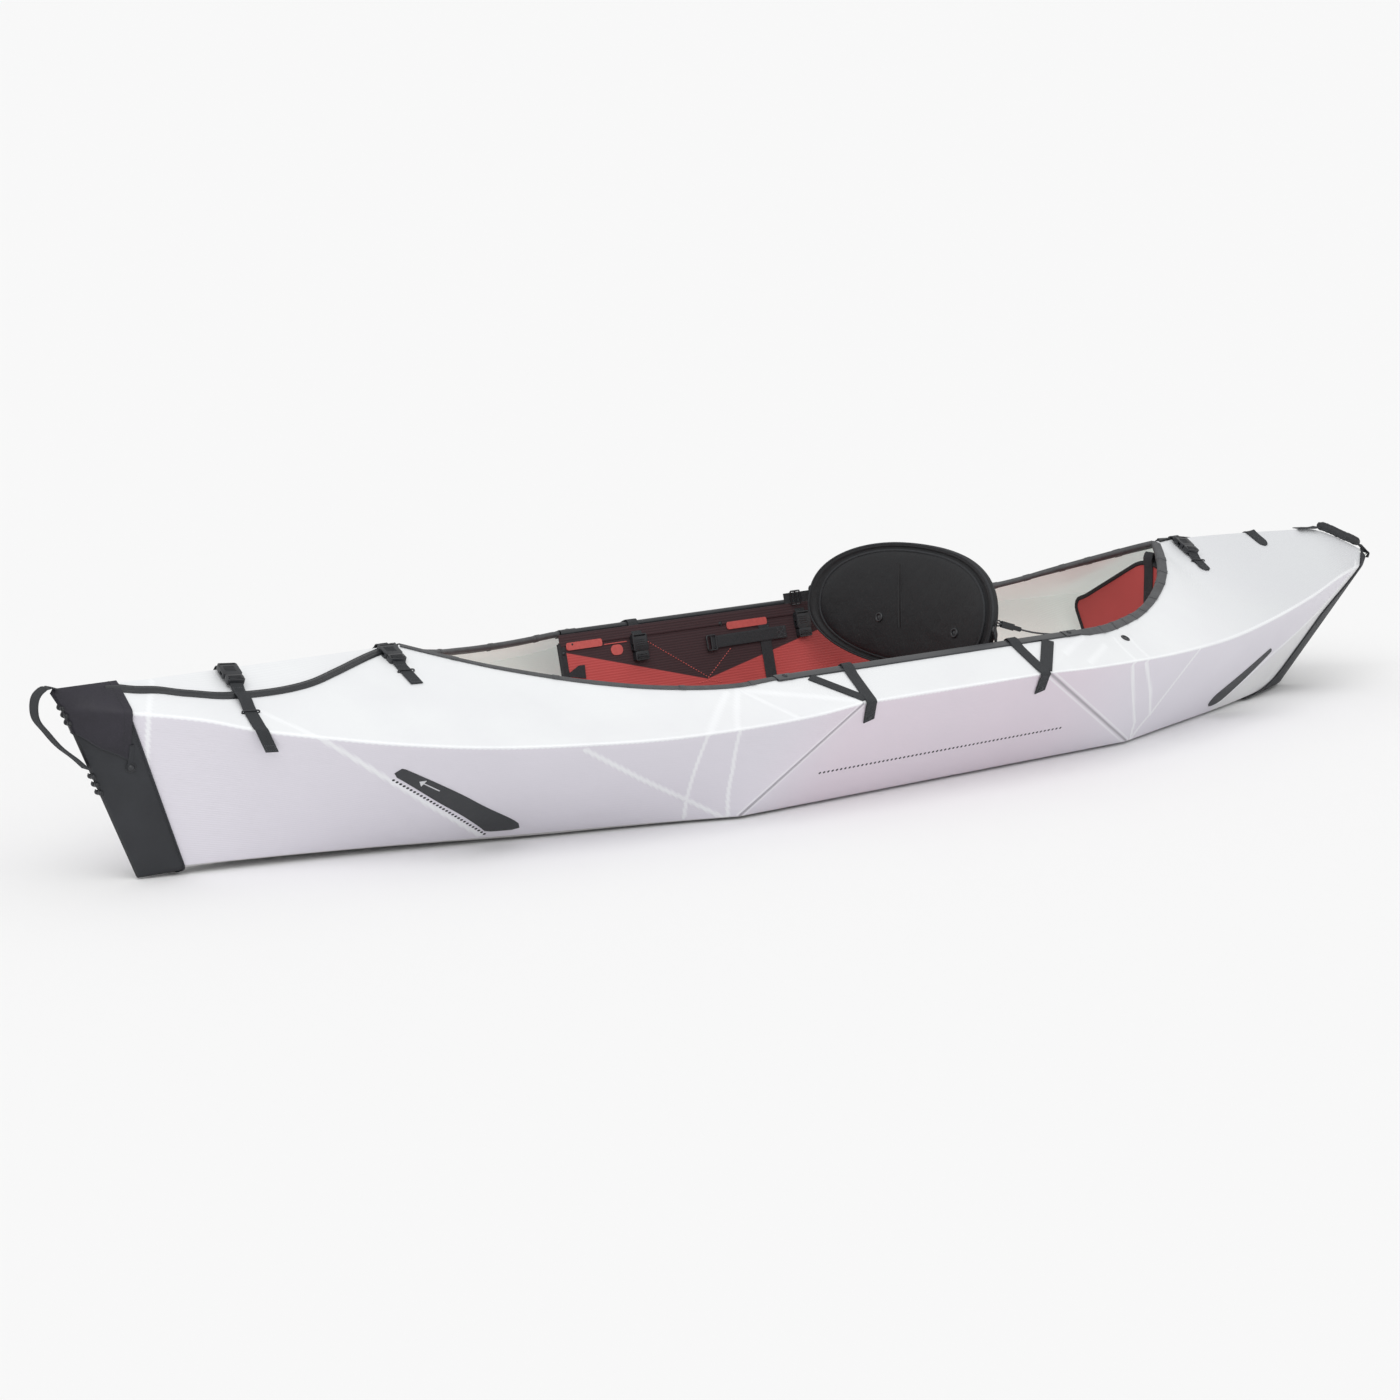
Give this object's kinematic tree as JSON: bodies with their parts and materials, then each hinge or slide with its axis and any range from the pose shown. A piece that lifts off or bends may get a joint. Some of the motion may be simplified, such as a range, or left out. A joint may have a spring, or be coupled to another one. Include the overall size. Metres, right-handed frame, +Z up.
{
  "type": "folding kayak",
  "caption": "Folding kayak with an open cockpit: a creased twin-wall sheet hull closed by straps, gunwale rails and end covers, with a foam seat, a backrest and inner boards",
  "frame": {"origin": "On the flat of the bottom, on the centre plane, under the seat", "axes": "+X to the stern and -X to the bow, +Y to the right of a seated paddler, +Z up"},
  "size_m": [2.943, 0.7656, 0.3476],
  "materials": {
    "hull_sheet": "satin white twin-wall sheet with fine flutes",
    "trim": "satin black extruded strip",
    "cover_fabric": "woven black cover",
    "webbing": "black woven webbing",
    "buckle": "black moulded",
    "board": "red twin-wall board",
    "foam_cover": "black fabric over foam"
  },
  "bodies": {
    "hull": {"bottom_panel": "hull_sheet", "bow_side_left": "hull_sheet", "mid_side_left": "hull_sheet", "stern_side_left": "hull_sheet", "bow_deck_left": "hull_sheet", "mid_topside_left": "hull_sheet", "stern_deck_left": "hull_sheet", "bow_side_right": "hull_sheet", "mid_side_right": "hull_sheet", "stern_side_right": "hull_sheet", "bow_deck_right": "hull_sheet", "mid_topside_right": "hull_sheet", "stern_deck_right": "hull_sheet", "front_rim_trim_left": "trim", "rear_rim_trim_left": "trim", "front_rim_trim_right": "trim", "rear_rim_trim_right": "trim", "gunwale_rail_left": "trim", "gunwale_rail_right": "trim", "bow_seam_channel": "trim", "stern_seam_channel": "trim", "floorboard": "board", "side_board_left": "board", "side_board_right": "board", "bow_strap_socket": "buckle", "bow_strap_anchor_webbing": "webbing", "cockpit_strap_socket": "buckle", "cockpit_strap_anchor_webbing": "webbing", "stern_strap_socket": "buckle", "stern_strap_anchor_webbing": "webbing", "front_gunwale_strap_left": "webbing", "front_left_inner_socket": "buckle", "front_gunwale_strap_right": "webbing", "front_right_inner_socket": "buckle", "rear_gunwale_strap_left": "webbing", "rear_left_inner_socket": "buckle", "rear_gunwale_strap_right": "webbing", "rear_right_inner_socket": "buckle", "seat_pad": "foam_cover", "backrest_strap_left": "webbing", "rear_cord_left": "webbing", "backrest_strap_right": "webbing", "rear_cord_right": "webbing"},
    "bow_strap_end": {"bow_strap_plug": "buckle", "bow_strap_webbing": "webbing"},
    "cockpit_strap_end": {"cockpit_strap_plug": "buckle", "cockpit_strap_webbing": "webbing"},
    "stern_strap_end": {"stern_strap_plug": "buckle", "stern_strap_webbing": "webbing"},
    "front_left_inner_end": {"front_left_inner_plug": "buckle"},
    "front_right_inner_end": {"front_right_inner_plug": "buckle"},
    "rear_left_inner_end": {"rear_left_inner_plug": "buckle"},
    "rear_right_inner_end": {"rear_right_inner_plug": "buckle"},
    "backrest": {"backrest_pad": "foam_cover"},
    "bulkhead": {"rear_bulkhead": "board"},
    "bow_cover": {"bow_fairing": "cover_fabric"},
    "grab_loop": {"bow_grab_loop": "webbing"},
    "stern_cover": {"stern_fairing": "trim"},
    "stern_handle": {"stern_handle_grip": "foam_cover"}
  },
  "joints": [
    {"name": "bow_strap_release", "type": "slide", "parent": "hull", "child": "bow_strap_end", "axis": [-0.1796, -0.8852, -0.4291], "range_m": [0, 0.024]},
    {"name": "cockpit_strap_release", "type": "slide", "parent": "hull", "child": "cockpit_strap_end", "axis": [-0.1124, -0.9235, -0.3668], "range_m": [0, 0.024]},
    {"name": "stern_strap_release", "type": "slide", "parent": "hull", "child": "stern_strap_end", "axis": [-0.0902, -0.8893, -0.4483], "range_m": [0, 0.024]},
    {"name": "front_left_inner_release", "type": "slide", "parent": "hull", "child": "front_left_inner_end", "axis": [0, 0.2513, -0.9679], "range_m": [0, 0.024]},
    {"name": "front_right_inner_release", "type": "slide", "parent": "hull", "child": "front_right_inner_end", "axis": [0, -0.2513, -0.9679], "range_m": [0, 0.024]},
    {"name": "rear_left_inner_release", "type": "slide", "parent": "hull", "child": "rear_left_inner_end", "axis": [0, 0.2513, -0.9679], "range_m": [0, 0.024]},
    {"name": "rear_right_inner_release", "type": "slide", "parent": "hull", "child": "rear_right_inner_end", "axis": [0, -0.2513, -0.9679], "range_m": [0, 0.024]},
    {"name": "backrest_tilt", "type": "hinge", "parent": "hull", "child": "backrest", "pos_m": [0.2422, 0, 0.2399], "axis": [0, -1, 0], "range_deg": [-15, 75]},
    {"name": "rear_bulkhead_fold", "type": "hinge", "parent": "hull", "child": "bulkhead", "pos_m": [0.858, 0, 0.0082], "axis": [0, -1, 0], "range_deg": [0, 80]},
    {"name": "bow_cover_slide", "type": "slide", "parent": "hull", "child": "bow_cover", "axis": [-1, 0, 0], "range_m": [0, 0.15]},
    {"name": "bow_grab_loop_swing", "type": "hinge", "parent": "bow_cover", "child": "grab_loop", "pos_m": [-1.4439, 0, 0.3045], "axis": [0.3549, 0, -0.9349], "range_deg": [-30, 30]},
    {"name": "stern_cover_slide", "type": "slide", "parent": "hull", "child": "stern_cover", "axis": [1, 0, 0], "range_m": [0, 0.15]},
    {"name": "stern_handle_swing", "type": "hinge", "parent": "hull", "child": "stern_handle", "pos_m": [1.374, 0, 0.25587], "axis": [0.9368, 0, -0.3498], "range_deg": [-30, 30]}
  ]
}
